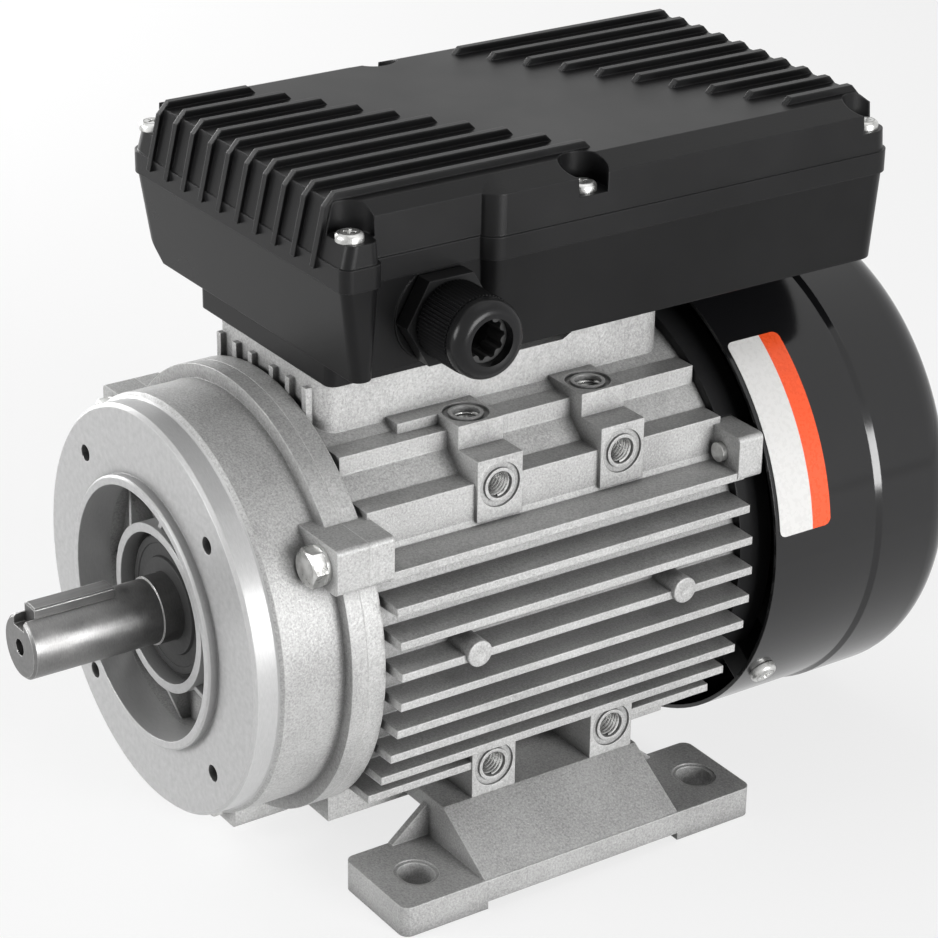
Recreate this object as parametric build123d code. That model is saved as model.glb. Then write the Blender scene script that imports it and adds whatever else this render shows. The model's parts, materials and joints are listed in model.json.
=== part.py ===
from build123d import *
from math import cos, radians, sin, sqrt
import os

# Single-phase foot and face mounted motor with a run and a start capacitor.
# Everything is drawn about the shaft axis, with y = 0 on the mounting face, the shaft towards -Y
# and the terminal box up. The finished pieces move to the centre of the four foot holes at the end.

# Mounting sizes of frame size 80
shaft_height = 80.0
foot_span_x = 125.0
foot_span_y = 100.0
face_to_foot_hole = 50.0
foot_slot_width = 10.0
foot_slot_length = 11.5
face_diameter = 120.0
face_bolt_circle = 100.0
face_bolt_count = 4
face_thread_radius = 2.5
face_thread_depth = 8.0
spigot_diameter = 80.0
spigot_height = 3.0
shaft_diameter = 19.0
shaft_length = 40.0
key_width = 6.0
key_height = 6.0
key_slot_depth = 3.5
key_length = 25.0
key_from_end = 3.5
shaft_thread_radius = 2.5
shaft_thread_depth = 16.0

# Fits and clearances
press_gap = 0.02
seat_gap = 0.05
sliding_gap = 0.08
running_gap = 0.35
ear_gap = 0.3
air_gap = 0.35

# Frame
frame_front = 32.0
frame_rear = 166.0
frame_radius = 62.5
frame_wall = 4.0
ring_radius = 65.8
front_ring_width = 5.6
register_radius = 60.0
register_depth = 8.0
rib_radius = 72.0
rib_count = 8
rib_top = 28.4
rib_pitch = 9.43
rib_tip = 2.4
rib_root = 3.4
rib_front = 39.0
rib_rear = 160.0
shelf_face = 54.0
shelf_top = 42.5
shelf_bottom = 31.0
deck_face = 53.5
deck_half_width = 40.0
strip_inner = 27.0
strip_outer = 35.1
strip_front = 60.8
belly_half_width = 32.5
belly_face = 65.5
pin_radius = 3.8

# Ears and shield bolts
ear_angles = (30, 150, 270)
ear_bolt_radius = 67.2
ear_side = 66.5
ear_top = 40.5
ear_low = 27.0
ear_half = 8.0
ear_bottom = 75.3
front_ear_seat = 22.0
front_ear_end = 40.0
rear_ear_start = 157.5
rear_ear_end = 172.0
shield_bolt_radius = 3.0
shield_bolt_flats = 10.0
shield_bolt_head = 4.0
shield_washer_radius = 5.6
shield_washer_thickness = 1.2

# Fixing blocks cast on the frame
block_places = (81.5, 123.5)
block_width = 15.0
block_thread_radius = 4.0
block_thread_depth = 8.0
block_top = 56.5
block_side = 55.5
block_step_x = 45.7
block_step_z = 49.5
block_low = 31.0
top_hole_x = 38.0
side_hole_z = 41.0
low_block_side = 55.0
low_hole_z = -48.6
low_hole_depth = 9.0
land_groove_inner = 5.0
land_groove_outer = 6.7
land_groove_depth = 0.8

# Pedestal under the terminal box
pedestal_front = 39.6
pedestal_rear = 157.0
pedestal_half = 29.0
pedestal_top = 72.5
pedestal_core_half = 21.5
pedestal_notch_front = 103.0
pedestal_notch_rear = 121.0
pedestal_notch_top = 66.5
pedestal_rear_top = 69.3
pedestal_corner = 6.0
pedestal_rib_places = (-23.5, -14.6, -5.8, 5.8, 14.6, 23.5)
pedestal_rib_width = 2.2
lead_opening_half = 16.0
lead_opening_front = 43.0
lead_opening_rear = 60.0
box_screw_x = 25.0
box_screw_places = (66.0, 96.0)

# Feet
foot_outer = 77.2
foot_inner = 45.0
foot_front = 36.6
foot_rear = 160.4
foot_pad = 9.5
riser_front = 64.0
riser_rear = 132.8
foot_seat = 57.5
riser_top = shaft_height - foot_seat
riser_shoulder = 55.0
riser_inner = 33.6
riser_wall = 4.0
riser_web = 46.0
foot_relief = 2.4
foot_bolt_x = 39.8
foot_bolt_radius = 3.0

# Drive end shield
shield_disc = 7.0
shield_drum_radius = 61.5
shield_rim = 27.0
shield_wall = 5.0
recess_radius = 37.4
recess_floor = 12.0
hub_radius = 28.5
hub_front = 3.0
hub_lip_radius = 22.3
hub_nose_radius = 25.0
seal_radius = 20.4
web_count = 8
web_thickness = 1.8

# Bearings 20 x 47 x 14
bearing_bore = 10.0
bearing_radius = 23.5
bearing_width = 14.0
drive_bearing_front = 14.0
rear_bearing_front = 168.0
ball_count = 8
ball_radius = 3.97

# Rotor and stator
core_front = 62.0
core_rear = 137.0
rotor_radius = 34.7
core_shaft_radius = 12.5
end_ring_length = 8.0
slot_count = 24
winding_overhang = 20.0

# Rear end shield, fan and cowl
rear_skirt_front = 160.5
rear_web = 172.0
rear_web_thickness = 5.0
cowl_front = 167.0
cowl_radius = 74.5
cowl_step = 205.0
cowl_rear_radius = 75.3
cowl_rear = 238.0
cowl_sheet = 1.2
cowl_corner = 11.0
label_front = 168.3
label_rear = 187.3
label_angles = (7, 53.5)
cowl_screw_angles = (-34, 86, 206)
cowl_screw_place = 174.7
fan_seat = 192.0
fan_radius = 62.0
fan_blade_count = 8
fan_depth = 24.0
fan_shaft_radius = 8.5
shaft_rear = 222.0

# Terminal box
box_front = 29.8
box_rear = 214.4
box_half = 58.5
box_recess_x = 54.5
box_step_y = 74.0
box_bottom = 82.5
box_seam = 109.0
lid_band_top = 115.5
lid_band = 0.6
box_column_rear = 41.0
box_column_corner = 2.9
box_wall = 3.0
box_floor = 2.5
box_corner = 6.0
box_draft = 1.3
box_far_chamfer = 11.0
plinth_half = 36.0
plinth_front = 38.5
plinth_rear = 150.0
lid_shoulder = 127.0
lid_top = 130.0
lid_wall = 2.5
lid_slope = 9.0
lid_front_lean = 3.8
lid_rib_count = 10
lid_rib_pitch = 9.9
lid_rib_width = 2.2
lid_rib_height = 2.0
band_slope = 0.6
band_front_y = 89.5
band_rear_y = 158.0
lid_screw_x = 53.0
lid_screw_places = (34.5, 108.5, 208.5)
lid_pocket_radius = 7.0
lid_pocket_floor = 121.5
lid_screw_radius = 2.0
lid_screw_head_radius = 3.9

# Cable gland
gland_y = 61.4
gland_z = 96.3
gland_thread_radius = 10.0
gland_hex = 24.0
gland_tip = 80.0
cable_radius = 5.9
gland_pad_radius = 13.8
gland_wall = 4.5

# Board, capacitors and leads in the box
board_front = 74.0
board_rear = 98.0
board_half = 19.0
stud_rows = (80.0, 92.0)
stud_columns = (-13.0, 0.0, 13.0)
clip_sheet = 1.1
clip_gap = 0.05

# Centrifugal switch
governor_front = 147.0
governor_plate = 1.6
pivot_radius = 27.0
pivot_y = 155.5
pivot_pin = 1.1
collar_front = 151.7
collar_rear = 159.3
groove_half = 2.3
finger_reach = 10.0
switch_plate_front = 161.4
switch_plate_rear = 163.0

axis_to_row = Pos(0, -(face_to_foot_hole + foot_span_y / 2), shaft_height)
nodes = {}


def add(name, *pieces):
    """Keep the finished solids of one node, moved to the frame of the foot holes."""
    solids = []
    for piece in pieces:
        solids += (axis_to_row * piece).solids()
    nodes[name] = solids[0] if len(solids) == 1 else Compound(children=solids)


def turned(*outline):
    """Body of revolution about the shaft axis from (radius, y) points."""
    return revolve(make_face(Polyline(*outline, close=True)), axis=Axis.Y)


def tube(outer, inner, y_from, y_to):
    return turned((inner, y_from), (outer, y_from), (outer, y_to), (inner, y_to))


def rod(radius, y_from, y_to):
    return turned((0, y_from), (radius, y_from), (radius, y_to), (0, y_to))


def along_y(section, y_from, y_to):
    """Prism from a section drawn in x and z."""
    return extrude(Plane.XZ.offset(-y_from) * section, amount=-(y_to - y_from))


def along_x(section, x_from, x_to):
    """Prism from a section drawn in y and z."""
    return extrude(Plane.YZ.offset(x_from) * section, amount=x_to - x_from)


def along_z(section, z_from, z_to):
    return extrude(Pos(0, 0, z_from) * section, amount=z_to - z_from)


def outline(*points):
    return make_face(Polyline(*points, close=True))


def rectangle(x_from, y_from, x_to, y_to, corner=0.0):
    width = x_to - x_from
    height = y_to - y_from
    place = Pos((x_from + x_to) / 2, (y_from + y_to) / 2)
    if corner > 0:
        return place * RectangleRounded(width, height, corner)
    return place * Rectangle(width, height)


def block(x_from, x_to, y_from, y_to, z_from, z_to):
    return along_z(rectangle(x_from, y_from, x_to, y_to), z_from, z_to)


def about_shaft(shape, angle):
    """Turn a shape from the +X side to an angle measured towards +Z."""
    return Rot(0, -angle, 0) * shape


def both_sides(shape):
    return shape + mirror(shape, about=Plane.YZ)


def bolt_head(flats, height):
    """Hexagon head with a chamfered crown, standing from y = -height to 0, a flat facing +X."""
    section = RegularPolygon(flats / 2, 6, major_radius=False, rotation=30)
    corner = flats * 0.58
    crown = turned((0, -height), (flats * 0.46, -height), (corner, -height * 0.8), (corner, 0), (0, 0))
    return along_y(section, -height, 0) & crown


def round_y(radius, y_from, y_to, x=0.0, z=0.0):
    return along_y(Pos(x, z) * Circle(radius), y_from, y_to)


def round_x(radius, x_from, x_to, y=0.0, z=0.0):
    return along_x(Pos(y, z) * Circle(radius), x_from, x_to)


def round_z(radius, z_from, z_to, x=0.0, y=0.0):
    return along_z(Pos(x, y) * Circle(radius), z_from, z_to)


def ears(y_from, y_to, grow=0.0):
    """Three bolt ears: two square ones at the upper sides and one at the bottom."""
    side = rectangle(45, ear_low - grow, ear_side + grow, ear_top + grow, 1.5)
    bottom = rectangle(-ear_half - grow, -ear_bottom - grow, ear_half + grow, -frame_radius + 6, 2.0)
    return both_sides(along_y(side, y_from, y_to)) + along_y(bottom, y_from, y_to)


def ear_bolt_holes(radius, y_from, y_to):
    hole = round_y(radius, y_from, y_to, ear_bolt_radius)
    return [about_shaft(hole, angle) for angle in ear_angles]


def rib_levels():
    return [rib_top - index * rib_pitch for index in range(rib_count)]


def rib_section(level):
    """One cooling rib on the +X side: thicker at its root, its tip on the rib circle."""
    tip = sqrt(rib_radius**2 - level**2)
    root = sqrt((frame_radius - 2) ** 2 - level**2)
    return outline(
        (root, level - rib_root / 2),
        (tip, level - rib_tip / 2),
        (tip, level + rib_tip / 2),
        (root, level + rib_root / 2),
    )


def frame_section():
    """Cross-section of the casting between its end rings: barrel, ribs, shelves, decks and belly."""
    half = rectangle(30, shelf_bottom, shelf_face, shelf_top)
    half += rectangle(20, 35, deck_half_width, deck_face)
    for level in rib_levels():
        half += rib_section(level)
    section = Circle(frame_radius) + half + mirror(half, about=Plane.YZ)
    section += rectangle(-belly_half_width, -belly_face, belly_half_width, -45)
    return section


def upper_block():
    """Stepped fixing block on the upper +X corner, with one hole upwards and one sideways."""
    section = outline(
        (27, 38),
        (27, block_top),
        (block_step_x, block_top),
        (block_step_x, block_step_z),
        (block_side, block_step_z),
        (block_side, block_low),
        (50, block_low),
        (36, 38),
    )
    return along_y(section, -block_width / 2, block_width / 2)


def lower_block():
    section = rectangle(riser_inner, riser_top - shaft_height, low_block_side, -36)
    return along_y(section, -block_width / 2, block_width / 2)


def land_groove(normal_plane):
    ring = Circle(land_groove_outer) - Circle(land_groove_inner)
    return extrude(normal_plane * ring, amount=-land_groove_depth)


def block_cuts():
    """Threaded holes and their ring grooves, for one block place on the +X side at y = 0."""
    top_plane = Plane(origin=(top_hole_x, 0, block_top))
    side_plane = Plane(origin=(block_side, 0, side_hole_z), z_dir=(1, 0, 0))
    low_plane = Plane(origin=(low_block_side, 0, low_hole_z), z_dir=(1, 0, 0))
    cuts = land_groove(top_plane) + land_groove(side_plane) + land_groove(low_plane)
    cuts += extrude(top_plane * Circle(block_thread_radius), amount=-block_thread_depth)
    cuts += extrude(side_plane * Circle(block_thread_radius), amount=-block_thread_depth)
    cuts += extrude(low_plane * Circle(block_thread_radius), amount=-low_hole_depth)
    return cuts


def pedestal():
    """Raised platform for the terminal box, with side walls that step down towards the rear."""
    core = block(-pedestal_core_half, pedestal_core_half, pedestal_front, pedestal_rear, 45, pedestal_top)
    wall_outline = outline(
        (pedestal_front, 45),
        (pedestal_front, pedestal_top),
        (pedestal_notch_front, pedestal_top),
        (pedestal_notch_front, pedestal_notch_top),
        (pedestal_notch_rear, pedestal_notch_top),
        (pedestal_notch_rear + 5, pedestal_rear_top),
        (pedestal_rear, pedestal_rear_top),
        (pedestal_rear, 45),
    )
    walls = along_x(wall_outline, -pedestal_half, pedestal_half)
    rounded = rectangle(-pedestal_half, pedestal_front, pedestal_half, pedestal_rear, pedestal_corner)
    body = (core + walls) & along_z(rounded, 40, pedestal_top)
    half = pedestal_rib_width / 2
    for x in pedestal_rib_places:
        body += block(x - half, x + half, pedestal_front - 1.8, pedestal_front + 3, 48, pedestal_top - 4)
    return body


def stator_frame():
    """Die-cast aluminium frame with cooling ribs, ears, fixing blocks and the box pedestal."""
    body = along_y(frame_section(), rib_front, rib_rear)
    body += tube(ring_radius, frame_radius - 2, frame_front, frame_front + front_ring_width)
    body += tube(frame_radius, frame_radius - 2, frame_front + front_ring_width, rib_front)
    body += tube(frame_radius, frame_radius - 2, rib_rear - 1, frame_rear)
    body += ears(frame_front, front_ear_end)
    body += ears(rear_ear_start, frame_rear)
    body += pedestal()
    side = block(strip_inner, strip_outer, strip_front, block_places[0], 50, block_top)
    low_rib = rib_section(rib_top - rib_count * rib_pitch)
    side += along_y(low_rib, rib_front, block_places[0]) + along_y(low_rib, block_places[1], rib_rear)
    side += round_x(pin_radius, frame_radius - 3, 73.0, 63.6, 1.2)
    side += round_x(pin_radius, frame_radius - 3, 73.0, 134.4, 1.2)
    for place in block_places:
        side += Pos(0, place, 0) * (upper_block() + lower_block())
    body += both_sides(side)
    body -= rod(frame_radius - frame_wall, frame_front - 1, frame_rear + 1)
    body -= rod(register_radius, frame_front - 1, frame_front + register_depth)
    body -= rod(register_radius, frame_rear - register_depth, frame_rear + 1)
    for place in block_places:
        body -= both_sides(Pos(0, place, 0) * block_cuts())
        hole = round_z(foot_bolt_radius, riser_top - shaft_height - 1, riser_top - shaft_height + 9, foot_bolt_x, place)
        body -= both_sides(hole)
    for hole in ear_bolt_holes(shield_bolt_radius, frame_front - 1, front_ear_end + 4):
        body -= hole
    for hole in ear_bolt_holes(shield_bolt_radius, rear_ear_start - 4, frame_rear + 1):
        body -= hole
    body -= block(
        -lead_opening_half, lead_opening_half, lead_opening_front, lead_opening_rear, 40, pedestal_top + 1
    )
    for place in box_screw_places:
        body -= both_sides(round_z(2.0, pedestal_top - 8, pedestal_top + 1, box_screw_x, place))
    return body


def drive_end_shield():
    """Drive end shield: mounting face, spigot, ribbed recess and bearing hub in one casting."""
    disc = face_diameter / 2
    spigot = spigot_diameter / 2
    inside = shield_drum_radius - shield_wall
    body = turned(
        (hub_lip_radius, hub_front),
        (hub_nose_radius, hub_front),
        (hub_nose_radius, recess_floor),
        (recess_radius, recess_floor),
        (recess_radius, -spigot_height),
        (spigot - 0.6, -spigot_height),
        (spigot, -spigot_height + 0.6),
        (spigot, 0),
        (disc - 1, 0),
        (disc, 1),
        (disc, shield_disc),
        (shield_drum_radius, shield_disc + 1.5),
        (shield_drum_radius, shield_rim),
        (ring_radius, shield_rim),
        (ring_radius, frame_front),
        (register_radius - seat_gap, frame_front),
        (register_radius - seat_gap, frame_front + 4),
        (inside, frame_front + 4),
        (inside, 9),
        (42, 9),
        (42, 17),
        (hub_radius, 17),
        (hub_radius, drive_bearing_front + bearing_width),
        (bearing_radius + press_gap, drive_bearing_front + bearing_width),
        (bearing_radius + press_gap, drive_bearing_front),
        (hub_lip_radius, drive_bearing_front),
    )
    for index in range(web_count):
        web = outline((24, hub_front + 1), (recess_radius + 1, 9.5), (recess_radius + 1, 13), (24, 13))
        web = extrude(Pos(0, 0, -web_thickness / 2) * web, amount=web_thickness)
        body += about_shaft(web, index * 360 / web_count)
    ear_bodies = ears(front_ear_seat, frame_front)
    body += ear_bodies - rod(shield_drum_radius - 2, 0, 60)
    for index in range(face_bolt_count):
        angle = 45 + index * 360 / face_bolt_count
        hole = round_y(face_thread_radius, -1, face_thread_depth, face_bolt_circle / 2)
        body -= about_shaft(hole, angle)
    for hole in ear_bolt_holes(shield_bolt_radius + 0.3, front_ear_seat - 1, frame_front + 1):
        body -= hole
    return body


def rear_end_shield():
    """Rear end shield: skirt over the barrel, bearing hub, cowl lugs and posts for the switch plate."""
    inside = register_radius - 4
    bearing_end = rear_bearing_front + bearing_width
    body = turned(
        (inside, frame_rear - 5),
        (register_radius - seat_gap, frame_rear - 5),
        (register_radius - seat_gap, frame_rear),
        (frame_radius + ear_gap, frame_rear),
        (frame_radius + ear_gap, rear_skirt_front),
        (ring_radius, rear_skirt_front),
        (ring_radius, rear_ear_end),
        (ring_radius - 5.3, rear_ear_end),
        (ring_radius - 8.3, rear_web + rear_web_thickness),
        (hub_radius, rear_web + rear_web_thickness + 2),
        (hub_radius, bearing_end + 5),
        (core_shaft_radius, bearing_end + 5),
        (core_shaft_radius, bearing_end + 2),
        (bearing_radius + press_gap, bearing_end + 2),
        (bearing_radius + press_gap, rear_bearing_front - 1),
        (hub_radius, rear_bearing_front - 1),
        (hub_radius, rear_web + 2),
        (inside, rear_web),
    )
    body -= ears(rear_ear_start, frame_rear, ear_gap) - rod(frame_radius + ear_gap, 0, cowl_rear)
    lobe = round_y(shield_washer_radius, frame_rear, rear_ear_end, ear_bolt_radius)
    for angle in ear_angles:
        body += about_shaft(lobe, angle)
    for hole in ear_bolt_holes(shield_bolt_radius + 0.3, frame_rear - 1, rear_ear_end + 12):
        body -= hole
    lug_radius = cowl_radius - cowl_sheet - 0.3
    lug = block(ring_radius - 8, cowl_radius, frame_rear + 2, cowl_screw_place + 5, -5, 5)
    for angle in cowl_screw_angles:
        body += about_shaft(lug & rod(lug_radius, frame_rear, cowl_screw_place + 10), angle)
        body -= about_shaft(round_x(1.6, ring_radius - 1, 80, cowl_screw_place, 0), angle)
    for angle in (60, 180, 300):
        post = round_y(3.0, switch_plate_rear, rear_web + 4, 31.0)
        body += about_shaft(post, angle)
    return body


def shield_bolts(seat, direction, length):
    """Hexagon bolts with washers through the ears; the head stands off the seat."""
    pieces = []
    for angle in ear_angles:
        washer = tube(shield_washer_radius, shield_bolt_radius + 0.1, 0, shield_washer_thickness)
        head = bolt_head(shield_bolt_flats, shield_bolt_head)
        shank = rod(shield_bolt_radius - 0.1, -0.5, length)
        bolt = head + shank
        washer = Pos(0, -shield_washer_thickness, 0) * washer
        bolt = Pos(0, -shield_washer_thickness, 0) * bolt
        pair = [washer, bolt]
        for piece in pair:
            if direction < 0:
                piece = mirror(piece, about=Plane.XZ)
            pieces.append(about_shaft(Pos(ear_bolt_radius, seat, 0) * piece, angle))
    return pieces


def foot():
    """Near foot, on the +X side: pads, hollow sloping riser, gussets and slotted holes."""
    base = -shaft_height
    top = riser_top - shaft_height
    pad_top = base + foot_pad
    body = along_z(rectangle(foot_inner, foot_front, foot_outer, foot_rear, 3.0), base, pad_top)
    riser = outline(
        (riser_inner, top),
        (riser_shoulder, top),
        (foot_outer - 0.4, pad_top),
        (foot_outer - 0.4, base + 2),
        (riser_web, base + 2),
        (riser_web, top - riser_wall - 1),
        (riser_inner, top - riser_wall - 1),
    )
    body += along_y(riser, riser_front, riser_rear)
    hollow = outline(
        (riser_web + riser_wall, base - 1),
        (riser_web + riser_wall, top - riser_wall - 1),
        (riser_shoulder - 2, top - riser_wall - 1),
        (foot_outer - riser_wall - 3, pad_top - 3),
        (foot_outer - riser_wall - 3, base - 1),
    )
    body -= along_y(hollow, riser_front + riser_wall, riser_rear - riser_wall)
    for wall_y, end_y in ((riser_front, 51.7), (riser_rear, 145.0)):
        gusset = outline((wall_y, pad_top - 1), (end_y, pad_top - 1), (end_y, pad_top + 0.3), (wall_y, top - 2.5))
        body += along_x(gusset, riser_web - 1, riser_web + 1.2)
    body -= block(riser_web - 5, foot_outer + 5, riser_front + 1, riser_rear, base - 1, base + foot_relief)
    centre = face_to_foot_hole + foot_span_y / 2
    for side in (-1, 1):
        place = Pos(foot_span_x / 2, centre + side * foot_span_y / 2)
        slot = place * SlotOverall(foot_slot_length, foot_slot_width)
        recess = place * SlotOverall(foot_slot_length + 2.2, foot_slot_width + 2.2)
        body -= along_z(slot, base - 1, pad_top + 1)
        body -= along_z(recess, pad_top - 0.4, pad_top + 1)
    for place in block_places:
        body -= round_z(foot_bolt_radius + 0.4, top - 20, top + 1, foot_bolt_x, place)
    return body


def foot_bolts():
    top = riser_top - shaft_height
    seat = top - riser_wall - 1
    pieces = []
    for side in (-1, 1):
        for place in block_places:
            x = side * foot_bolt_x
            section = Pos(x, place) * RegularPolygon(5, 6, major_radius=False)
            head = along_z(section, seat - 5.6, seat - 1.6)
            shank = round_z(foot_bolt_radius - 0.1, seat - 2, top + 8, x, place)
            washer = round_z(5.8, seat - 1.6, seat, x, place) - round_z(3.1, seat - 2, seat + 1, x, place)
            pieces += [head + shank, washer]
    return pieces


def shaft():
    """Stepped rotor shaft with its keyway open at the drive end and a threaded centre hole."""
    radius = shaft_diameter / 2
    drive_end = drive_bearing_front + bearing_width
    rear_end = rear_bearing_front + bearing_width
    profile = (
        (0, -shaft_length),
        (radius - 0.8, -shaft_length),
        (radius, -shaft_length + 0.8),
        (radius, 0),
        (bearing_bore - press_gap, 0),
        (bearing_bore - press_gap, drive_end),
        (core_shaft_radius, drive_end),
        (core_shaft_radius, rear_bearing_front),
        (bearing_bore - press_gap, rear_bearing_front),
        (bearing_bore - press_gap, rear_end + 1),
        (fan_shaft_radius, rear_end + 1),
        (fan_shaft_radius, shaft_rear - 0.8),
        (fan_shaft_radius - 0.8, shaft_rear),
        (0, shaft_rear),
    )
    body = about_shaft(turned(*profile), 20)
    slot_end = -shaft_length + key_from_end + key_length
    slot = along_z(rectangle(-key_width / 2, -shaft_length - 5, key_width / 2, slot_end), radius - key_slot_depth, 20)
    body -= slot
    body -= rod(shaft_thread_radius, -shaft_length - 1, -shaft_length + shaft_thread_depth)
    groove = tube(fan_shaft_radius + 1, fan_shaft_radius - 0.5, fan_seat + 22, fan_seat + 23.2)
    return body - groove


def shaft_key():
    start = -shaft_length + key_from_end
    bottom = shaft_diameter / 2 - key_slot_depth
    key = block(-key_width / 2, key_width / 2, start, start + key_length, bottom, bottom + key_height)
    return chamfer(key.edges().group_by(Axis.Z)[-1], 0.5)


def outer_ring(front):
    pitch = (bearing_bore + bearing_radius) / 2
    body = tube(bearing_radius, bearing_radius - 3.4, front, front + bearing_width)
    groove = revolve(Pos(pitch, front + bearing_width / 2) * Circle(ball_radius + 0.05), axis=Axis.Y)
    return body - groove


def inner_ring(front):
    pitch = (bearing_bore + bearing_radius) / 2
    body = tube(bearing_bore + 3.4, bearing_bore, front, front + bearing_width)
    groove = revolve(Pos(pitch, front + bearing_width / 2) * Circle(ball_radius + 0.05), axis=Axis.Y)
    return body - groove


def ball_cage(front):
    """Riveted cage ring with its balls."""
    pitch = (bearing_bore + bearing_radius) / 2
    middle = front + bearing_width / 2
    body = tube(pitch + 1.6, pitch - 1.6, middle - 1.0, middle + 1.0)
    for index in range(ball_count):
        ball = Pos(pitch, middle, 0) * Sphere(ball_radius)
        body += about_shaft(ball, index * 360 / ball_count)
    return body


def bearing_seals(front):
    """Two rubber covers clipped in the outer ring, clear of the inner ring."""
    outer = bearing_radius - 3.5
    inner = bearing_bore + 3.4 + running_gap
    first = tube(outer, inner, front + 0.4, front + 1.4)
    second = tube(outer, inner, front + bearing_width - 1.4, front + bearing_width - 0.4)
    return [first, second]


def slot_section(grow):
    """One stator slot in x and z, open to the bore."""
    mouth = rotor_radius + air_gap
    return outline(
        (mouth - 1, -1.2 - grow),
        (mouth + 1.5, -1.2 - grow),
        (mouth + 3, -2.8 - grow),
        (48 + grow, -4.3 - grow),
        (48 + grow, 4.3 + grow),
        (mouth + 3, 2.8 + grow),
        (mouth + 1.5, 1.2 + grow),
        (mouth - 1, 1.2 + grow),
    )


def stator_core():
    """Lamination stack with its winding slots."""
    section = Circle(frame_radius - frame_wall - press_gap) - Circle(rotor_radius + air_gap)
    for index in range(slot_count):
        section -= Rot(0, 0, index * 360 / slot_count) * slot_section(0.0)
    return along_y(section, core_front, core_rear)


def windings():
    """Coil sides in the slots, joined by the tied end turns at both ends."""
    coil = outline((38.3, -2.6), (47.8, -4.05), (47.8, 4.05), (38.3, 2.6))
    body = turned(
        (37.5, core_front - 2),
        (38, core_front - winding_overhang + 3),
        (41, core_front - winding_overhang),
        (49, core_front - winding_overhang),
        (53, core_front - winding_overhang + 4),
        (53, core_front - 4),
        (47, core_front - 1),
        (39, core_front - 1),
    )
    body += mirror(body, about=Plane.XZ.offset(-(core_front + core_rear) / 2))
    for index in range(slot_count):
        section = Rot(0, 0, index * 360 / slot_count) * coil
        body += along_y(section, core_front - 2, core_rear + 2)
    return body


def rotor_core():
    return tube(rotor_radius, core_shaft_radius + press_gap, core_front, core_rear)


def rotor_end_rings():
    """Cast short-circuit rings with small stirring blades."""
    rings = []
    for y_from, y_to, blade_from, blade_to in (
        (core_front - end_ring_length, core_front, core_front - end_ring_length - 6, core_front - 1),
        (core_rear, core_rear + end_ring_length, core_rear + 1, core_rear + end_ring_length + 1),
    ):
        ring = tube(rotor_radius - 0.5, 24, y_from, y_to)
        for index in range(slot_count // 3):
            blade = block(26, 33, blade_from, blade_to, -1, 1)
            ring += about_shaft(blade, index * 1080 / slot_count)
        rings.append(ring)
    return rings


def shaft_seal():
    """Rubber ring that turns with the shaft in front of the drive bearing."""
    return turned(
        (bearing_bore + press_gap, 6.8),
        (seal_radius, 6.8),
        (seal_radius, 8.6),
        (13.6, 9.5),
        (16.5, 12.4),
        (15.5, 13.2),
        (12.4, 11),
        (12.4, 13.6),
        (bearing_bore + press_gap, 13.6),
    )


def wave_washer():
    start = rear_bearing_front + bearing_width
    return tube(bearing_radius - 0.3, bearing_radius - 3.2, start + 0.1, start + 1.9)


def fan():
    """Moulded radial fan: hub, back plate and straight blades."""
    body = tube(14, fan_shaft_radius + press_gap, fan_seat, fan_seat + 22)
    body += turned((13, fan_seat), (30, fan_seat + 1), (fan_radius, fan_seat + 5), (fan_radius, fan_seat + 7.5),
                   (30, fan_seat + 4), (13, fan_seat + 3.5))
    for index in range(fan_blade_count):
        profile = outline((20, fan_seat + 2), (fan_radius, fan_seat + 6), (fan_radius, fan_seat + fan_depth - 2),
                          (fan_radius - 4, fan_seat + fan_depth), (30, fan_seat + fan_depth), (13.5, fan_seat + 16),
                          (13.5, fan_seat + 3))
        blade = extrude(Pos(0, 0, -1.1) * profile, amount=2.2)
        body += about_shaft(blade, index * 360 / fan_blade_count)
    return body


def fan_clip():
    ring = tube(fan_shaft_radius + 2.6, fan_shaft_radius - 0.4, fan_seat + 22.05, fan_seat + 23.1)
    return ring - block(-2, 2, fan_seat + 20, fan_seat + 25, 0, 20)


def grille_slots():
    """Curved air slots in the rear face of the cowl, in rings between radial bars."""
    section = None
    for ring_index in range(5):
        inner = 16 + ring_index * 9.2
        ring = Circle(inner + 5.0) - Circle(inner)
        section = ring if section is None else section + ring
    for index in range(6):
        bar = Rot(0, 0, 30 + index * 60) * (Pos(38, 0) * Rectangle(76, 6))
        section -= bar
    return along_y(section, cowl_rear - 5, cowl_rear + 5)


def fan_cowl():
    """Pressed sheet-steel cowl, stepped at mid length, with a slotted rear face."""
    sheet = cowl_sheet
    corner = cowl_corner
    front = cowl_radius
    rear = cowl_rear_radius
    rim = Polyline(
        (front - sheet, cowl_front),
        (front, cowl_front),
        (front, cowl_step),
        (rear, cowl_step + 2),
        (rear, cowl_rear - corner),
    )
    outer_arc = RadiusArc((rear, cowl_rear - corner), (rear - corner, cowl_rear), -corner)
    face_outer = Line((rear - corner, cowl_rear), (0, cowl_rear))
    face_end = Line((0, cowl_rear), (0, cowl_rear - sheet))
    face_inner = Line((0, cowl_rear - sheet), (rear - corner, cowl_rear - sheet))
    inner_arc = RadiusArc((rear - corner, cowl_rear - sheet), (rear - sheet, cowl_rear - corner), corner - sheet)
    inner = Polyline(
        (rear - sheet, cowl_rear - corner),
        (rear - sheet, cowl_step + 2),
        (front - sheet, cowl_step),
        (front - sheet, cowl_front),
    )
    profile = make_face([*rim.edges(), outer_arc, face_outer, face_end, face_inner, inner_arc, *inner.edges()])
    body = revolve(profile, axis=Axis.Y)
    body -= grille_slots()
    for angle in cowl_screw_angles:
        body -= about_shaft(round_x(2.2, cowl_radius - 4, cowl_radius + 4, cowl_screw_place, 0), angle)
    return body


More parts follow.
